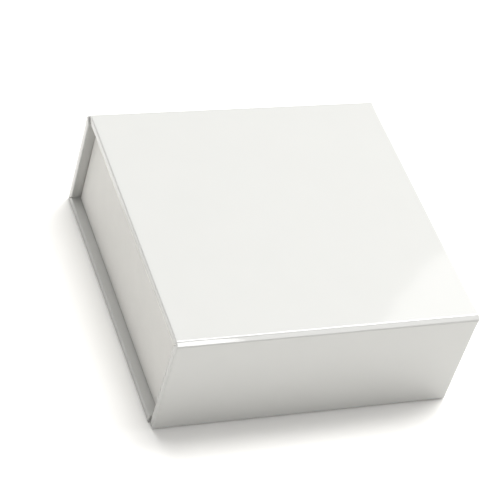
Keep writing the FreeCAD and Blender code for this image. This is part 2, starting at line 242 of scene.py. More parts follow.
def laminated_paper(name, colour):
    """White art paper under clear film: barely clouded, darker at sharp turns (handling wear on outer
    edges, painted shade in creases and valleys), with a faint orange peel.
    """
    finish = Finish(name)
    clouds = finish.grain(11 * MM, 2.0)
    cloud = finish.ramp(clouds, (0.3, shade(colour, 0.994)), (0.7, shade(colour, 1.004)))
    fibre = finish.span(finish.grain(0.25 * MM, 6.0), 0.0, 0.02)
    paper = finish.mix(fibre, cloud, shade(colour, 0.8))
    # Sharp turns are coloured darker: handling wear on outer edges, painted shade in creases, valleys and
    # inner corners.
    wear_and_shade = finish.span(finish.attribute("edge_wear_and_shade"), 0.0, 0.16, 0.0, 1.0)
    finish.feed("Base Color", finish.mix(wear_and_shade, paper, shade(colour, 0.72)))
    finish.feed("Roughness", finish.span(finish.grain(6 * MM, 2.0), 0.46, 0.52))
    finish.bump(
        (finish.grain(16 * MM, 1.0), 0.2, 0.06 * MM),
        (finish.grain(1.4 * MM, 1.0), 0.10, 0.003 * MM),
    )
    return finish.set(IOR=1.3, Coat_Weight=1.0, Coat_Roughness=0.05, Coat_IOR=1.7).material


def uncoated_paper(name, colour):
    """Plain woodfree paper: matte, with soft clouds and short crossing fibres."""
    finish = Finish(name)
    cloud = finish.ramp(finish.grain(6 * MM, 2.0), (0.3, shade(colour, 0.985)), (0.7, shade(colour, 1.01)))
    along = finish.grain(0.3 * MM, 5.0, 0.6, finish.stretched((0.25, 1.0, 1.0)))
    across = finish.grain(0.3 * MM, 5.0, 0.6, finish.stretched((1.0, 0.3, 0.6)))
    fleck = finish.span(along, 0.0, 0.10, 0.45, 0.75)
    # Sharp turns are coloured darker: handling wear on outer edges, painted shade in creases, valleys and
    # inner corners.
    wear_and_shade = finish.span(finish.attribute("edge_wear_and_shade"), 0.0, 0.10, 0.0, 1.0)
    paper = finish.mix(fleck, cloud, shade(colour, 0.82))
    finish.feed("Base Color", finish.mix(wear_and_shade, paper, shade(colour, 0.80)))
    finish.feed("Roughness", finish.span(across, 0.55, 0.72))
    finish.bump((along, 0.30, 0.02 * MM), (across, 0.30, 0.02 * MM), (finish.grain(2 * MM), 0.2, 0.03 * MM))
    return finish.set(IOR=1.45, Sheen_Weight=0.08, Sheen_Roughness=0.5).material


def greyboard():
    """Recycled pulp board: grey-brown, with pale and dark flecks and a felted surface."""
    finish = Finish("raw_greyboard")
    clumps = finish.grain(1.6 * MM, 8.0, 0.7)
    pulp = finish.ramp(clumps, (0.3, (0.23, 0.21, 0.185)), (0.7, (0.36, 0.335, 0.30)))
    flecks = finish.span(finish.cells(0.9 * MM), 1.0, 0.0, 0.08, 0.20)
    dark = finish.mix(flecks, pulp, (0.13, 0.11, 0.10))
    shreds = finish.grain(0.5 * MM, 6.0, 0.65, finish.stretched((0.3, 1.0, 2.0)))
    finish.feed("Base Color", finish.mix(finish.span(shreds, 0.0, 0.5, 0.5, 0.8), dark, (0.52, 0.50, 0.46)))
    finish.feed("Roughness", finish.span(shreds, 0.80, 0.95))
    finish.bump((shreds, 0.5, 0.05 * MM), (finish.grain(0.2 * MM, 6.0), 0.4, 0.03 * MM))
    return finish.set(IOR=1.4).material


def kraft_tape():
    """Gummed kraft paper: brown, with long fibres and a slight glaze."""
    finish = Finish("kraft_stay_tape")
    fibres = finish.grain(0.6 * MM, 6.0, 0.65, finish.stretched((1.0, 1.0, 0.2)))
    finish.feed("Base Color", finish.ramp(fibres, (0.3, (0.26, 0.16, 0.085)), (0.7, (0.43, 0.29, 0.17))))
    finish.feed("Roughness", finish.span(finish.grain(2 * MM), 0.45, 0.62))
    finish.bump((fibres, 0.35, 0.02 * MM))
    return finish.set(IOR=1.45).material


def nickel_plate():
    """Bright nickel on a magnet: fine grinding lines under the plating and a few dull spots."""
    finish = Finish("nickel_plated_magnet")
    lines = finish.grain(0.12 * MM, 3.0, 0.5, finish.stretched((0.15, 1.0, 1.0)))
    tarnish = finish.ramp(finish.grain(3 * MM), (0.3, (0.60, 0.58, 0.55)), (0.7, (0.72, 0.70, 0.67)))
    finish.feed("Base Color", tarnish)
    finish.feed("Roughness", finish.span(lines, 0.16, 0.34))
    finish.bump((lines, 0.2, 0.003 * MM), (finish.cells(1.2 * MM), 0.1, 0.004 * MM))
    return finish.set(Metallic=1.0).material


def pile_cloth(colour):
    """Short flocked pile: dense soft tips with painted shade between them, faintly brushed, with a pale
    sheen at grazing angles.
    """
    finish = Finish("flocked_pile_cloth")
    brushed = finish.grain(11 * MM, 2.0, 0.5)
    tips = finish.grain(0.28 * MM, 4.0, 0.7)
    lay = finish.ramp(brushed, (0.35, shade(colour, 0.96)), (0.65, shade(colour, 1.02)))
    # Painted shade: the pile is coloured darker where its tips are low, as shade falls between the fibres.
    painted_root_shade = finish.span(tips, 0.30, 0.0, 0.35, 0.60)
    finish.feed("Base Color", finish.mix(painted_root_shade, lay, shade(colour, 0.60)))
    finish.feed("Roughness", finish.span(tips, 0.82, 0.98))
    tufts = finish.cells(0.4 * MM)
    finish.bump((brushed, 0.12, 0.12 * MM), (tips, 0.8, 0.09 * MM), (tufts, 0.4, 0.05 * MM))
    return finish.set(IOR=1.4, Sheen_Weight=0.45, Sheen_Roughness=0.35).material


def open_foam():
    """Polyurethane foam: off-white, pitted with small open cells, each pit painted darker as its shade."""
    finish = Finish("open_cell_foam")
    pits = finish.cells(0.7 * MM)
    # Painted shade: each open cell is coloured darker towards its middle, where shade falls in the pit.
    finish.feed("Base Color", finish.ramp(pits, (0.10, (0.42, 0.41, 0.37)), (0.45, (0.78, 0.77, 0.73))))
    finish.feed("Roughness", finish.span(finish.grain(1 * MM), 0.85, 0.98))
    finish.bump((pits, 0.8, 0.15 * MM), (finish.cells(0.3 * MM), 0.5, 0.06 * MM))
    return finish.set(IOR=1.4).material


def floor_paint(colour):
    """The pale table that the box stands on."""
    finish = Finish("stage_floor")
    finish.feed("Base Color", finish.ramp(finish.grain(0.3), (0.3, shade(colour, 0.995)), (0.7, colour)))
    finish.feed("Roughness", finish.span(finish.grain(0.05), 0.68, 0.74))
    return finish.set(IOR=1.3).material


# ---- Outlines ------------------------------------------------------------------------------------


def rounded(corners):
    """A closed outline from (point, reach) corners, each softened by an arc that starts its reach away."""
    points = []
    count = len(corners)
    for index, (corner, reach) in enumerate(corners):
        before = corners[index - 1][0] - corner
        after = corners[(index + 1) % count][0] - corner
        reach = min(reach, before.length * 0.45, after.length * 0.45)
        if reach <= 0:
            points.append(corner.copy())
            continue
        start = corner + before.normalized() * reach
        stop = corner + after.normalized() * reach
        points += [curve_point(start, corner, stop, step / ARC_STEPS) for step in range(ARC_STEPS + 1)]
    return points


def divided(start, stop):
    """Shares of the way from start to stop: evenly spaced, with one more close to each end."""
    length = (stop - start).length
    if length < 4 * SHOULDER:
        return [0.0]
    count = max(1, round((length - 2 * SHOULDER) / SPACING))
    near = SHOULDER / length
    return [0.0] + [near + (1 - 2 * near) * index / count for index in range(count + 1)]


def curve_point(start, corner, stop, t):
    """A point on the circular arc that leaves both sides at the same distance from their corner."""
    pull = (stop - start).length / (2 * (corner - start).length)
    shares = ((1 - t) ** 2, 2 * pull * t * (1 - t), t**2)
    return (start * shares[0] + corner * shares[1] + stop * shares[2]) / sum(shares)


def arc_radii(corners):
    """Each corner of an outline with the radius of the arc that softens it."""
    arcs = []
    for index, (corner, reach) in enumerate(corners):
        before = corners[index - 1][0] - corner
        after = corners[(index + 1) % len(corners)][0] - corner
        arcs.append((corner, reach * math.tan(before.angle(after) / 2)))
    return arcs


def filled(points):
    """The outline with its long sides divided."""
    full = []
    for index, point in enumerate(points):
        following = points[(index + 1) % len(points)]
        full += [point.lerp(following, share) for share in divided(point, following)]
    return full


def inward(points):
    """The inward normal at each point of a closed outline that runs anticlockwise."""
    normals = []
    for index in range(len(points)):
        along = (points[(index + 1) % len(points)] - points[index - 1]).normalized()
        normals.append(Vector((-along.y, along.x)))
    return normals


def stations(half, spacing, rounding, steps):
    """Places along X from one end to the other, each with how far its outline is drawn in."""
    ends = []
    for step in range(steps + 1):
        angle = math.pi / 2 * step / steps
        ends.append((half - rounding * (1 - math.sin(angle)), rounding * (1 - math.cos(angle))))
    flat = half - rounding
    count = round(2 * flat / spacing)
    middle = [(-flat + SHOULDER, 0.0)]
    middle += [(-flat + 2 * flat * index / count, 0.0) for index in range(1, count)]
    middle += [(flat - SHOULDER, 0.0)]
    left = [(-x, drawn) for x, drawn in ends[::-1]]
    return sorted(left + middle + ends)


# ---- Meshes --------------------------------------------------------------------------------------


def face_outward(bm):
    """Turn every face of a closed mesh to look outward."""
    bmesh.ops.recalc_face_normals(bm, faces=bm.faces)
    if bm.calc_volume(signed=True) < 0:
        bmesh.ops.reverse_faces(bm, faces=bm.faces)


def loft(rings, closed_ends=True):
    """A mesh through rings of equally many points, each ring closed on itself."""
    bm = bmesh.new()
    rows = [[bm.verts.new(point) for point in ring] for ring in rings]
    for row, following in zip(rows, rows[1:]):
        for index in range(len(row)):
            after = (index + 1) % len(row)
            bm.faces.new((row[index], row[after], following[after], following[index]))
    if closed_ends:
        bm.faces.new(rows[0][::-1])
        bm.faces.new(rows[-1])
        face_outward(bm)
    return bm


def prism(outline, half, place, rounding, arcs):
    """Sweep an outline along X and round its two end rims, by no more than each corner's arc can take.

    At a corner a rim gives way by a share of the arc's radius, and further off by a share of the distance.
    """
    of_radius, of_distance = 0.7, 1 / 3
    normals = inward(outline)
    softness = []
    for point in outline:
        rooms = (max(of_radius * radius, of_distance * (point - corner).length) for corner, radius in arcs)
        softness.append(min(1.0, min(rooms) / rounding))
    rings = []
    for x, drawn in stations(half, SPACING, rounding, ARC_STEPS):
        ring = [point + normal * drawn * soft for point, normal, soft in zip(outline, normals, softness)]
        rings.append([place(x, point.x, point.y) for point in ring])
    return loft(rings)


def settle(bm, height, spread, still=()):
    """Sink the surface by a slow random depth, as glued paper and board never lie quite flat.

    Beside the lines along X through the still points nothing moves, so that neighbours stay flush.
    """
    calm = 6 * MM
    bm.normal_update()
    moves = []
    for vert in bm.verts:
        depth = height * min(1.0, max(0.0, 0.5 + 0.5 * noise.noise(vert.co / spread)))
        away = min((math.hypot(vert.co.y - point.y, vert.co.z - point.z) for point in still), default=1.0)
        moves.append(vert.normal * -depth * min(1.0, away / calm))
    for vert, move in zip(bm.verts, moves):
        vert.co += move


def mark_edge_wear_and_shade(bm, sharpest=0.5):
    """Store how sharply the surface turns at each point, so that materials can darken sharp turns: handling
    wear on outer edges and painted shade in creases and valleys.
    """
    layer = bm.verts.layers.float.new("edge_wear_and_shade")
    for vert in bm.verts:
        turns = [edge.calc_face_angle(0.0) for edge in vert.link_edges if len(edge.link_faces) == 2]
        vert[layer] = min(1.0, max(turns, default=0.0) / sharpest)


def make_piece(name, bm, material, body=None, replaced=()):
    """Turn a mesh into a piece: smooth, finished, named, hiding the parts it replaces, and riding on its
    body.
    """
    mark_edge_wear_and_shade(bm)
    mesh = bpy.data.meshes.new(name)
    bm.to_mesh(mesh)
    bm.free()
    for polygon in mesh.polygons:
        polygon.use_smooth = True
    mesh.set_sharp_from_angle(angle=math.radians(38))
    mesh.materials.append(material)
    piece = bpy.data.objects.new(name, mesh)
    bpy.context.scene.collection.objects.link(piece)
    if replaced:
        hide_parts(*replaced)
    if body:
        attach(piece, body)
    return piece


def finish_nodes(names, material):
    """Give carried-over CAD nodes their material."""
    for name in names:
        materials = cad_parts[name].data.materials
        materials.clear()
        materials.append(material)


# ---- Case panels ---------------------------------------------------------------------------------
#
# A panel's outline is drawn as (along the panel, depth below its outer face).  At a crease the edge has a
# facet that seats the bridging paper, then a mitre with a thin skin of glued-down paper over the board.


FINE_BEND = 0.2 * MM
WAVE_SPREAD = 18 * MM


def crease_edge(crease):
    """The corners beside a crease, each with the reach of its bend."""
    facet = crease / 2 + PAPER
    skin = 0.08 * MM
    return [
        (Vector((crease, 0)), 0.03 * MM),
        (Vector((crease + PAPER, PAPER)), 0.0),
        (Vector((facet + (MITRE_GAP - skin) / 2, facet - (MITRE_GAP - skin) / 2)), 0.08 * MM),
        (Vector((PANEL + MITRE_GAP - skin, PANEL)), 0.15 * MM),
    ]


def free_edge(inset, reach):
    """The corners of an edge with no crease beside it."""
    return [(Vector((inset, 0)), reach), (Vector((inset, PANEL)), reach)]


def mirrored(edge, length):
    """The same edge at the panel's far end."""
    return [(Vector((length - corner.x, corner.y)), reach) for corner, reach in edge][::-1]


def anticlockwise(corners):
    """The corners in the order that turns left."""
    area = 0.0
    for (first, _), (second, _) in zip(corners, corners[1:] + corners[:1]):
        area += first.x * second.y - second.x * first.y
    return corners if area > 0 else corners[::-1]


def panel_mesh(corners, half, place, settings, cut=None):
    """A wrapped board from its corners, cut if it has a folded end, with its board's slow waves."""
    corners = anticlockwise(corners)
    end_rounding = 0.85 * settings.edge_radius
    bm = prism(filled(rounded(corners)), half, place, end_rounding, arc_radii(corners))
    if cut:
        cut(bm, half)
    fine = [corner for corner, reach in corners if reach < FINE_BEND]
    settle(bm, settings.board_wave, WAVE_SPREAD, [place(0.0, corner.x, corner.y) for corner in fine])
    return bm


def cut_mitre_line(bm, half):
    """Crease the ends of the back panel where base and spine fold: a thin valley from corner to corner."""
    depth, narrowing = 0.45 * MM, 0.2
    corner, across = Vector((0, BACK, 0)), Vector((0, 1, 1)).normalized()
    lower = [vert for vert in bm.verts if vert.co.z < PANEL + PAPER]
    line = [vert for vert in lower if abs((vert.co - corner).dot(across)) < 1e-6]
    for cap in [face for face in bm.faces if len(face.verts) > 4]:
        verts = list(cap.verts)
        outer, inner = (index for index, vert in enumerate(verts) if vert in line)
        for beside in (1, 0, -1):
            ends = verts[outer + beside], verts[inner - beside]
            face = next(face for face in ends[0].link_faces if ends[1] in face.verts)
            bmesh.utils.face_split(face, *ends)
    for vert in line:
        from_end = half - abs(vert.co.x)
        if from_end < depth:
            vert.co.x = math.copysign(half - depth - narrowing * from_end, vert.co.x)


class GIFTBOX_OT_case_back(bpy.types.Operator):
    """Wrap the base and spine boards in one folded sheet"""

    bl_idname = "giftbox.case_back"
    bl_label = "Base and spine"

    def execute(self, context):
        settings = context.scene.gift_box_case
        bend = settings.edge_radius
        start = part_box("base_wrap")[0].y
        top_edge = crease_edge(CREASE_BACK)
        spine_top = [(Vector((BACK - at.y, TOP - at.x)), reach) for at, reach in top_edge]
        corners = [
            (Vector((start, 0)), bend),
            (Vector((BACK, 0)), 0.45 * MM),
            *spine_top,
            (Vector((BACK - PANEL, PANEL)), FINE_BEND),
            (Vector((start, PANEL)), bend),
        ]
        bm = panel_mesh(corners, HALF_BASE, lambda x, y, z: Vector((x, y, z)), settings, cut_mitre_line)
        paper, covered = case_paper(settings), ("base_wrap", "spine_wrap")
        make_piece("case_back_wrap", bm, paper, "case_and_tray", covered)
        return {"FINISHED"}


class GIFTBOX_OT_lid(bpy.types.Operator):
    """Wrap the lid board and line its inside"""

    bl_idname = "giftbox.lid"
    bl_label = "Lid"

    def execute(self, context):
        settings = context.scene.gift_box_case
        depth = BACK - FRONT
        corners = crease_edge(CREASE_BACK) + mirrored(crease_edge(CREASE_FRONT), depth)
        bm = panel_mesh(corners, HALF_LID, lambda x, u, v: Vector((x, BACK - u, TOP - v)), settings)
        make_piece("lid_wrap_sheet", bm, case_paper(settings), "lid", ("lid_wrap",))
        low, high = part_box("lid_lining")
        bm = slab(
            lines(low.x, high.x, 2 * MM, (TURN_IN - HALF_LID, HALF_LID - TURN_IN)),
            lines(low.y, high.y, 2 * MM),
            high.z - low.z,
            lambda a, b: turned_in_step(HALF_LID - abs(a)),
            lambda a, b, n: Vector((a, b, high.z - n)),
        )
        make_piece("lid_lining_sheet", bm, lining_paper(settings), "lid", ("lid_lining",))
        return {"FINISHED"}


class GIFTBOX_OT_flap(bpy.types.Operator):
    """Wrap the flap board, and line it over its magnets"""

    bl_idname = "giftbox.flap"
    bl_label = "Flap"

    def execute(self, context):
        settings = context.scene.gift_box_case
        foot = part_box("flap_wrap")[0].z
        corners = crease_edge(CREASE_FRONT) + mirrored(free_edge(foot, settings.edge_radius), TOP)
        bm = panel_mesh(corners, HALF_LID, lambda x, u, v: Vector((x, FRONT + v, TOP - u)), settings)
        make_piece("flap_wrap_sheet", bm, case_paper(settings), "flap", ("flap_wrap",))
        low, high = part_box("flap_lining")
        magnets = [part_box(name) for name in MAGNETS if name.startswith("flap")]
        centres = [Vector(((a.x + b.x) / 2, (a.z + b.z) / 2)) for a, b in magnets]
        rim = (magnets[0][1].x - magnets[0][0].x) / 2
        dent, dent_width = 0.05 * MM, 0.5 * MM

        def sag(a, b):
            step = turned_in_step(min(HALF_LID - abs(a), b - foot))
            rings = (abs((Vector((a, b)) - centre).length - rim) for centre in centres)
            return step + dent * sum(math.exp(-((ring / dent_width) ** 2)) for ring in rings)

        fine = 0.55 * MM
        bm = slab(
            lines(low.x, high.x, fine, (TURN_IN - HALF_LID, HALF_LID - TURN_IN)),
            lines(low.z, high.z, fine, (TURN_IN + foot,)),
            high.y - low.y,
            sag,
            lambda a, b, n: Vector((a, low.y + n, b)),
        )
        paper = lining_paper(settings)
        make_piece("flap_lining_sheet", bm, paper, "flap", ("flap_lining",))
        return {"FINISHED"}


def crease_mesh(crease, half, place):
    """The bridging paper across a hinge: a flat facet with soft shoulders that leave both panels flush.

    At each end the paper is tucked into the gap between the boards.
    """
    shoulder, tuck, tuck_length = 0.16 * crease, 0.8 * MM, 0.5 * MM
    ripple_height, ripple_length = 0.012 * MM, 8 * MM
    own_row = 900  # sets the two creases apart in the noise
    first, last = Vector((crease, 0)), Vector((0, crease))
    bend, unbend = Vector((crease - shoulder, 0)), Vector((0, crease - shoulder))
    onto = bend + (unbend - bend).normalized() * shoulder
    off = unbend + (bend - unbend).normalized() * shoulder
    outer = [curve_point(first, bend, onto, step / 5) for step in range(5)]
    outer += [onto.lerp(off, step / 3) for step in range(3)]
    outer += [curve_point(off, unbend, last, step / 5) for step in range(6)]
    steps = len(outer) - 1
    start, stop = Vector((crease + PAPER, PAPER)), Vector((PAPER, crease + PAPER))
    inner = [start.lerp(stop, step / steps) for step in range(steps + 1)]
    section = outer + inner[::-1]
    rings = []
    for x, drawn in stations(half, 2 * MM, 0.1 * MM, 2):
        ripple = ripple_height * (1 + noise.noise(Vector((x / ripple_length, crease * own_row, 0))))
        ring = []
        for index, point in enumerate(section):
            t = min(index, 2 * steps + 1 - index) / steps
            sunk = ripple * 4 * t * (1 - t) + (drawn * 0.5 if index <= steps else 0.0)
            if index == steps + 1 + steps // 2:
                sunk += tuck * min(1.0, max(0.0, (abs(x) - half) / tuck_length + 1.0))
            ring.append(place(x, point.x + sunk, point.y + sunk))
        rings.append(ring)
    return loft(rings)


class GIFTBOX_OT_creases(bpy.types.Operator):
    """Bridge the two hinges with the sheet's scored creases"""

    bl_idname = "giftbox.creases"
    bl_label = "Hinge creases"

    def execute(self, context):
        paper = case_paper(context.scene.gift_box_case)
        half = min(HALF_LID, HALF_BASE)
        bm = crease_mesh(CREASE_BACK, half, lambda x, u, v: Vector((x, BACK - u, TOP - v)))
        piece = make_piece("back_crease_paper", bm, paper, replaced=("back_crease",))
        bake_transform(piece)
        bm = crease_mesh(CREASE_FRONT, half, lambda x, u, v: Vector((x, FRONT + u, TOP - v)))
        piece = make_piece("front_crease_paper", bm, paper, replaced=("front_crease",))
        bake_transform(piece)
        return {"FINISHED"}


# ---- Thin sheets ---------------------------------------------------------------------------------


def spaced(places, low, high, gap):
    """The places between two ends in order, without those that crowd the one before."""
    ordered = sorted(place for place in places if low <= place <= high)
    kept = [ordered[0]]
    for place in ordered[1:]:
        if place - kept[-1] > gap:
            kept.append(place)
    kept[-1] = high
    return kept


def grid_rim(across, along):
    """The index pairs round the rim of a grid of lines, in order."""
    last_i, last_j = len(across) - 1, len(along) - 1
    rim = [(i, 0) for i in range(last_i)]
    rim += [(last_i, j) for j in range(last_j)]
    rim += [(i, last_j) for i in range(last_i, 0, -1)]
    rim += [(0, j) for j in range(last_j, 0, -1)]
    return rim


def lines(low, high, spacing, steps=()):
    """Grid lines between two ends, closer at the rims and beside each step."""
    count = max(2, round((high - low) / spacing))
    places = {low + (high - low) * index / count for index in range(count + 1)}
    for near in (0.08 * MM, 0.25 * MM):
        places |= {low + near, high - near}
    for step in steps:
        places |= {step + offset * MM for offset in (-0.5, -0.2, 0.0, 0.2, 0.5)}
    return spaced(places, low, high, 0.03 * MM)


def turned_in_step(from_edge):
    """How far a lining sinks past the inner edge of the wrap's turn-in."""
    depth, width = 0.11 * MM, 0.3 * MM
    return depth * 0.5 * (1 + math.tanh((from_edge - TURN_IN) / width))


def slab(across, along, thick, sag, place):
    """A sheet on a grid, its shown face sunk by sag and rounded down at the rim, its back flat."""
    rim_drop, rim_width = 0.06 * MM, 0.07 * MM
    wave_height, wave_spread = 0.02 * MM, 9 * MM
    bm = bmesh.new()
    low_a, high_a, low_b, high_b = across[0], across[-1], along[0], along[-1]
    front, back = [], []
    for a in across:
        front_row, back_row = [], []
        for b in along:
            rim = min(a - low_a, high_a - a, b - low_b, high_b - b)
            drop = rim_drop * math.exp(-rim / rim_width)
            wave = wave_height * (0.5 + 0.5 * noise.noise(Vector((a, b, 0.0)) / wave_spread))
            front_row.append(bm.verts.new(place(a, b, thick - sag(a, b) - drop - wave)))
            back_row.append(bm.verts.new(place(a, b, 0.0)))
        front.append(front_row)
        back.append(back_row)
    for i in range(len(across) - 1):
        for j in range(len(along) - 1):
            for rows in (front, back):
                bm.faces.new((rows[i][j], rows[i + 1][j], rows[i + 1][j + 1], rows[i][j + 1]))
    rim = grid_rim(across, along)
    for (i, j), (k, m) in zip(rim, rim[1:] + rim[:1]):
        bm.faces.new((front[i][j], front[k][m], back[k][m], back[i][j]))
    face_outward(bm)
    return bm


# ---- Tray ----------------------------------------------------------------------------------------


def tray_section(low, high, wall, rim):
    """The wall's section, up the outside, over the rim and down: (distance in from the outside, height)."""
    foot = 0.15 * MM
    rise = high - rim - low - foot
    rows = round((high - low - rim) / SPACING)
    turns = [math.pi / 2 * step / ARC_STEPS for step in range(ARC_STEPS + 1)]
    section = [(foot, low), (0.0, low + foot)]
    section += [(0.0, low + foot + rise * row / rows) for row in range(1, rows + 1)]
    section += [(rim * (1 - math.cos(turn)), high - rim * (1 - math.sin(turn))) for turn in turns[1:]]
    section += [(wall - rim * (1 - math.sin(turn)), high - rim * (1 - math.cos(turn))) for turn in turns]
    section += [(wall, high - rim - rise * row / rows) for row in range(1, rows)]
    return section + [(wall, low + foot), (wall - foot, low)]


def tray_loop(centre, half_x, half_y, radius, z, count_x, count_y):
    """A rounded rectangle at a height, with a set number of points on each side."""
    corners = [
        Vector((half_x, -half_y)),
        Vector((half_x, half_y)),
        Vector((-half_x, half_y)),
        Vector((-half_x, -half_y)),
    ]
    soft = rounded([(corner, radius) for corner in corners])
    points = []
    per_corner = ARC_STEPS + 1
    for side in range(4):
        arc = soft[side * per_corner : (side + 1) * per_corner]
        following = soft[((side + 1) % 4) * per_corner]
        count = count_y if side % 2 == 0 else count_x
        points += arc + [arc[-1].lerp(following, index / count) for index in range(1, count)]
    return [Vector((centre.x + p.x, centre.y + p.y, z)) for p in points]


class GIFTBOX_OT_tray(bpy.types.Operator):
    """Wrap the tray's walls over the rim, and line its floor"""

    bl_idname = "giftbox.tray"
    bl_label = "Tray"

    def execute(self, context):
        settings = context.scene.gift_box_tray
        low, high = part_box("tray_wrap")
        floor_low, floor_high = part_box("tray_floor_lining")
        centre, half = (low + high) / 2, (high - low) / 2
        wall = floor_low.x - low.x
        spacing, sharpest = 4 * MM, 0.25 * MM
        counts = round(2 * half.x / spacing), round(2 * half.y / spacing)
        rings = []
        for drawn, z in tray_section(low.z, high.z, wall, settings.rim_radius):
            radius = max(sharpest, settings.corner_radius - drawn)
            rings.append(tray_loop(centre, half.x - drawn, half.y - drawn, radius, z, *counts))
        bm = loft(rings + rings[:1], closed_ends=False)
        bmesh.ops.remove_doubles(bm, verts=bm.verts, dist=1e-7)
        face_outward(bm)
        settle(bm, settings.wall_wave, 12 * MM)
        paper = uncoated_paper("matte_tray_paper", settings.paper_colour)
        make_piece("tray_wrap_sheet", bm, paper, "case_and_tray", ("tray_wrap",))
        bm = slab(
            lines(floor_low.x, floor_high.x, SPACING),
            lines(floor_low.y, floor_high.y, SPACING),
            floor_high.z - floor_low.z,
            lambda a, b: 0.0,
            lambda a, b, n: Vector((a, b, floor_low.z + n)),
        )
        covered = ("tray_floor_lining",)
        make_piece("tray_floor_lining_sheet", bm, paper, "case_and_tray", covered)
        return {"FINISHED"}


# ---- Padded insert -------------------------------------------------------------------------------


PAD_GAP = 0.05 * MM


def pad_lines(half, roll, slits):
    """Grid lines across a pad: dense in the rolled rims and across each slit."""
    places = set()
    for step in range(7):
        inset = roll * (1 - math.cos(math.pi / 2 * step / 6))
        places |= {half - inset, inset - half}
    flat = half - roll
    count = round(2 * flat / (1.5 * MM))
    places |= {-flat + 2 * flat * index / count for index in range(count + 1)}
    for middle in slits:
        for offset in (0.0, 0.18, 0.34, 0.55, 0.85, 1.2, 1.6, 2.1):
            places |= {middle + offset * MM, middle - offset * MM}
    return spaced(places, -half, half, PAD_GAP)


def slit_depth(across, beyond, depth):
    """Depth of a cut in the pad: rolled lips that fall into a narrow deep slot, closing past its end."""
    lip, lip_width, slot_width, end_width = 0.9 * MM, 0.95 * MM, 0.42 * MM, 0.9 * MM
    closing = math.exp(-((max(0.0, beyond) / end_width) ** 2))
    lips = lip * math.exp(-((across / lip_width) ** 2))
    slot = depth * max(0.0, 1 - (across / slot_width) ** 2)
    return closing * (lips + slot)


def cut_depth(x, y, half, cuts):
    """How deep the ring slit and the two chain notches reach at a point of the pad."""
    ring_slit = slit_depth(y, abs(x) - cuts.slit_length / 2, cuts.slit_depth)
    from_notch = abs(x) - cuts.notch_spacing / 2
    return ring_slit + slit_depth(from_notch, half.y - cuts.notch_length - y, cuts.notch_depth)


def pad_grid(half, roll, cuts):
    """The grid lines of a pad along X and Y, with more of them where the insert's settings cut it."""
    if not cuts:
        return pad_lines(half.x, roll, ()), pad_lines(half.y, roll, ())
    notch_x = cuts.notch_spacing / 2
    along = pad_lines(half.y, roll, (0.0,))
    ends = [half.y - cuts.notch_length + offset * MM for offset in (-0.8, -0.4, 0.0, 0.5)]
    along += [end for end in ends if min(abs(end - place) for place in along) > PAD_GAP]
    return pad_lines(half.x, roll, (-notch_x, notch_x)), sorted(along)


def pad_mesh(low, high, roll, crown, cuts=None):
    """A soft block: rolled rims, a crowned top with its cuts, and sides that belly out slightly."""
    unevenness, spread, fullness = 0.05 * MM, 6 * MM, 0.7
    centre, half = (low + high) / 2, (high - low) / 2
    across, along = pad_grid(half, roll, cuts)
    bm = bmesh.new()
    top = []
    for x in across:
        row = []
        for y in along:
            from_rim = min(half.x - abs(x), half.y - abs(y))
            fall = roll - math.sqrt(max(0.0, roll**2 - max(0.0, roll - from_rim) ** 2))
            swell = (1 - (x / half.x) ** 2) * (1 - (y / half.y) ** 2)
            z = high.z - crown - fall + crown * swell**fullness
            if cuts:
                z -= cut_depth(x, y, half, cuts)
            z += unevenness * (noise.noise(Vector((x, y, 3.0)) / spread) - 1)
            corner = corner_pull(x, y, half, roll)
            row.append(bm.verts.new(Vector((centre.x + x * corner.x, centre.y + y * corner.y, z))))
        top.append(row)
    for i in range(len(across) - 1):
        for j in range(len(along) - 1):
            bm.faces.new((top[i][j], top[i + 1][j], top[i + 1][j + 1], top[i][j + 1]))
    close_pad(bm, [top[i][j] for i, j in grid_rim(across, along)], centre, low.z)
    face_outward(bm)
    return bm


def close_pad(bm, rim, centre, bottom):
    """Add the sides below a pad's rim, drawn in at the foot and less so above it, and its underside."""
    deepest, foot, above_foot = 0.25 * MM, 0.2, 0.4
    ring = rim
    for height in (0.75, 0.5, 0.25, 0.06, 0.0):
        tuck = deepest * (1 - math.sin(math.pi * min(1.0, height + 0.15)))
        tuck *= 1 if height < foot else above_foot
        following = []
        for start in rim:
            outward = Vector((start.co.x - centre.x, start.co.y - centre.y, 0)).normalized()
            moved = start.co.copy()
            moved.z = bottom + (start.co.z - bottom) * height
            following.append(bm.verts.new(moved - outward * tuck))
        for index in range(len(ring)):
            after = (index + 1) % len(ring)
            bm.faces.new((ring[index], ring[after], following[after], following[index]))
        ring = following
    bm.faces.new(ring)


def corner_pull(x, y, half, radius):
    """Scales that draw a grid's square corners onto round ones."""
    over_x, over_y = abs(x) - (half.x - radius), abs(y) - (half.y - radius)
    if over_x <= 0 or over_y <= 0:
        return Vector((1.0, 1.0))
    a, b = over_x / radius, over_y / radius
    new_x = half.x - radius + radius * a * math.sqrt(1 - b * b / 2)
    new_y = half.y - radius + radius * b * math.sqrt(1 - a * a / 2)
    return Vector((new_x / abs(x), new_y / abs(y)))


class GIFTBOX_OT_insert(bpy.types.Operator):
    """Set the foam block in the tray and cover it in flocked cloth"""

    bl_idname = "giftbox.insert"
    bl_label = "Padded insert"

    def execute(self, context):
        settings = context.scene.gift_box_insert
        cloth_thickness, foam_roll, foam_crown = 1.2 * MM, 1.2 * MM, 0.3 * MM
        low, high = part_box("insert_foam")
        foam_high = high - Vector((0, 0, cloth_thickness))
        bm = pad_mesh(low, foam_high, foam_roll, foam_crown)
        foam = make_piece("pad_foam", bm, open_foam(), "case_and_tray", ("insert_foam",))
        low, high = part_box("insert_cover")
        bm = pad_mesh(low, high, settings.roll_radius, settings.crown, settings)
        cloth = pile_cloth(settings.cloth_colour)
        cover = make_piece("pad_cover", bm, cloth, "case_and_tray", ("insert_cover",))
        return {"FINISHED"}


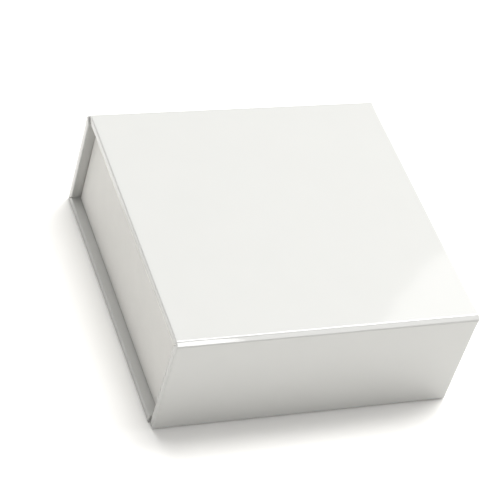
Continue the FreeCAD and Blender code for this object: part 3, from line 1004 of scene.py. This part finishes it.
class GIFTBOX_OT_boards(bpy.types.Operator):
    """Finish the boards, corner tapes and magnets inside the papers"""

    bl_idname = "giftbox.boards"
    bl_label = "Boards, tapes and magnets"

    def execute(self, context):
        finish_nodes(GREYBOARDS, greyboard())
        finish_nodes(CORNER_STAYS, kraft_tape())
        finish_nodes(MAGNETS, nickel_plate())
        return {"FINISHED"}


# ---- Stage ---------------------------------------------------------------------------------------


def aimed(place, target):
    """The rotation that points an object's -Z axis from a place to a target."""
    return (target - place).to_track_quat("-Z", "Y")


def compass(azimuth, elevation):
    """The direction at an azimuth, turned from the spine's side toward the right, and an elevation."""
    level = Vector((math.sin(azimuth), math.cos(azimuth), 0)) * math.cos(elevation)
    return level + Vector((0, 0, math.sin(elevation)))


def add_panel_light(name, azimuth, elevation, size, power, turn=0.0, distance=1.5):
    """A soft panel of light that faces the box, its angles in degrees."""
    light = bpy.data.lights.new(name, "AREA")
    light.shape = "RECTANGLE"
    light.size, light.size_y = size
    light.energy = power
    lamp = bpy.data.objects.new(name, light)
    lamp.location = compass(math.radians(azimuth), math.radians(elevation)) * distance
    lamp.rotation_mode = "QUATERNION"
    spun = Matrix.Rotation(math.radians(turn), 4, "Z").to_quaternion()
    lamp.rotation_quaternion = aimed(lamp.location, Vector()) @ spun
    bpy.context.scene.collection.objects.link(lamp)


class GIFTBOX_OT_stage(bpy.types.Operator):
    """Lay the floor, hang the lights and set the camera"""

    bl_idname = "giftbox.stage"
    bl_label = "Stage"

    def execute(self, context):
        settings = context.scene.gift_box_stage
        self.lay_floor(settings)
        self.light(context.scene, settings)
        self.set_camera(context.scene, settings)
        context.scene.view_settings.view_transform = "Standard"
        return {"FINISHED"}

    def lay_floor(self, settings):
        bm = bmesh.new()
        bmesh.ops.create_circle(bm, cap_ends=True, radius=settings.floor_radius, segments=96)
        mesh = bpy.data.meshes.new("floor")
        bm.to_mesh(mesh)
        bm.free()
        mesh.materials.append(floor_paint(settings.floor_colour))
        floor = bpy.data.objects.new("floor", mesh)
        bpy.context.scene.collection.objects.link(floor)

    def light(self, scene, settings):
        world = bpy.data.worlds.new("studio")
        world.use_nodes = True
        background = world.node_tree.nodes["Background"]
        background.inputs["Color"].default_value = (1.0, 1.0, 1.0, 1.0)
        background.inputs["Strength"].default_value = settings.sky_strength
        scene.world = world
        add_panel_light("overhead_panel", 10, 72, (0.8, 0.7), settings.overhead_power)
        add_panel_light("key_panel", 62, 58, (0.6, 0.6), settings.key_power)
        add_panel_light("right_panel", 92, 20, (0.7, 0.7), settings.right_power)
        add_panel_light("glare_panel", 50, 46, (0.423, 0.7), settings.glare_power, turn=-15)
        add_panel_light("front_panel", 162.5, 37, (0.3, 0.16), settings.front_power)
        add_panel_light("crease_panel", 149, 36, (0.28, 0.16), settings.crease_power)

    def set_camera(self, scene, settings):
        back = compass(math.pi - settings.azimuth, settings.elevation)
        camera = bpy.data.cameras.new("camera")
        camera.lens = settings.lens
        camera.sensor_width = 36.0
        camera.clip_start, camera.clip_end = 0.01, 20.0
        holder = bpy.data.objects.new("camera", camera)
        aim = Vector(settings.aim)
        holder.location = aim + back * settings.distance
        level = aimed(holder.location, aim)
        holder.rotation_mode = "QUATERNION"
        holder.rotation_quaternion = level @ Matrix.Rotation(settings.roll, 4, "Z").to_quaternion()
        scene.collection.objects.link(holder)
        scene.camera = holder


# ---- Settings, panel and registration ------------------------------------------------------------


def colour_property(name, description, default):
    return bpy.props.FloatVectorProperty(
        name=name, description=description, default=default, size=3, subtype="COLOR", min=0.0, max=1.0
    )


def length_property(name, description, default):
    return bpy.props.FloatProperty(
        name=name, description=description, default=default, min=0.0, unit="LENGTH", precision=5
    )


def power_property(name, description, default):
    return bpy.props.FloatProperty(
        name=name, description=description, default=default, min=0.0, unit="POWER"
    )


def angle_property(name, description, degrees):
    return bpy.props.FloatProperty(
        name=name, description=description, default=math.radians(degrees), unit="ROTATION"
    )


class GiftBoxCase(bpy.types.PropertyGroup):
    wrap_colour: colour_property("Wrap", "Colour of the case's laminated paper", (0.496, 0.496, 0.478))
    lining_colour: colour_property("Lining", "Colour of the lid and flap's lining", (0.550, 0.546, 0.525))
    edge_radius: length_property("Edge radius", "How round the paper bends over a board's edge", 0.4 * MM)
    board_wave: length_property("Board wave", "Deepest dip in a glued board's surface", 0.05 * MM)


class GiftBoxTray(bpy.types.PropertyGroup):
    paper_colour: colour_property("Paper", "Colour of the tray's matte paper", (0.696, 0.687, 0.658))
    rim_radius: length_property("Rim radius", "How round the paper bends over the tray's rim", 0.4 * MM)
    corner_radius: length_property("Corner radius", "Radius of the tray's upright corners", 0.7 * MM)
    wall_wave: length_property("Wall wave", "Deepest dip in a tray wall", 0.05 * MM)


class GiftBoxInsert(bpy.types.PropertyGroup):
    cloth_colour: colour_property("Cloth", "Colour of the flocked pile", (0.500, 0.492, 0.467))
    roll_radius: length_property("Roll", "Radius of the pad's soft rims", 2.4 * MM)
    crown: length_property("Crown", "How much the pad rises to its middle", 1.0 * MM)
    slit_length: length_property("Slit length", "Length of the ring slit", 26 * MM)
    slit_depth: length_property("Slit depth", "Depth of the ring slit", 6.5 * MM)
    notch_spacing: length_property("Notch spacing", "Distance between the chain notches", 40 * MM)
    notch_length: length_property("Notch length", "Length of a chain notch from the pad's edge", 4 * MM)
    notch_depth: length_property("Notch depth", "Depth of a chain notch", 4.5 * MM)


class GiftBoxStage(bpy.types.PropertyGroup):
    azimuth: angle_property("Azimuth", "Camera's turn round the box", -30.82)
    elevation: angle_property("Elevation", "Camera's height above the floor", 43.32)
    roll: angle_property("Roll", "Camera's tilt about its own line of sight", 18.07)
    distance: length_property("Distance", "From the camera to the aim point", 0.5731)
    lens: bpy.props.FloatProperty(
        name="Lens", description="Focal length in millimetres", default=149.8, min=1.0
    )
    aim: bpy.props.FloatVectorProperty(
        name="Aim",
        description="Point that the camera looks at",
        default=(-0.01388, -0.01338, 0.035),
        subtype="XYZ",
    )
    floor_colour: colour_property("Floor", "Colour of the pale floor", (0.95, 0.94, 0.915))
    floor_radius: length_property("Floor radius", "Radius of the floor", 4.0)
    sky_strength: bpy.props.FloatProperty(
        name="Sky", description="Brightness of the even light from all round", default=0.456, min=0.0
    )
    overhead_power: power_property("Overhead", "Power of the panel above and behind the box", 18.0)
    key_power: power_property("Key", "Power of the high panel on the right", 10.8)
    right_power: power_property("Right", "Power of the low panel on the right", 10.2)
    glare_power: power_property("Glare", "Power of the panel mirrored in the lid's front corner", 1.0)
    front_power: power_property("Front", "Power of the panel mirrored in the front crease's left end", 1.0)
    crease_power: power_property("Crease", "Power of the panel mirrored along the front crease", 0.33)


SETTINGS = {
    "gift_box_case": GiftBoxCase,
    "gift_box_tray": GiftBoxTray,
    "gift_box_insert": GiftBoxInsert,
    "gift_box_stage": GiftBoxStage,
}

OPERATORS = (
    GIFTBOX_OT_case_back,
    GIFTBOX_OT_lid,
    GIFTBOX_OT_flap,
    GIFTBOX_OT_creases,
    GIFTBOX_OT_tray,
    GIFTBOX_OT_insert,
    GIFTBOX_OT_boards,
    GIFTBOX_OT_stage,
)


class GIFTBOX_PT_sidebar(bpy.types.Panel):
    """Lists the box's pieces and their settings"""

    bl_label = "Jewelry gift box"
    bl_idname = "GIFTBOX_PT_sidebar"
    bl_space_type = "VIEW_3D"
    bl_region_type = "UI"
    bl_category = "Gift Box"

    def draw(self, context):
        for operator in OPERATORS:
            self.layout.operator(operator.bl_idname)
        for name, group in SETTINGS.items():
            box = self.layout.box()
            settings = getattr(context.scene, name)
            for setting in group.__annotations__:
                box.prop(settings, setting)


def register():
    for name, group in SETTINGS.items():
        bpy.utils.register_class(group)
        setattr(bpy.types.Scene, name, bpy.props.PointerProperty(type=group))
    for operator in OPERATORS:
        bpy.utils.register_class(operator)
    bpy.utils.register_class(GIFTBOX_PT_sidebar)


def unregister():
    bpy.utils.unregister_class(GIFTBOX_PT_sidebar)
    for operator in reversed(OPERATORS):
        bpy.utils.unregister_class(operator)
    for name, group in SETTINGS.items():
        delattr(bpy.types.Scene, name)
        bpy.utils.unregister_class(group)


def main():
    register()
    bpy.ops.giftbox.case_back()
    bpy.ops.giftbox.lid()
    bpy.ops.giftbox.flap()
    bpy.ops.giftbox.creases()
    bpy.ops.giftbox.tray()
    bpy.ops.giftbox.insert()
    bpy.ops.giftbox.boards()
    bpy.ops.giftbox.stage()


if __name__ == "__main__":
    main()
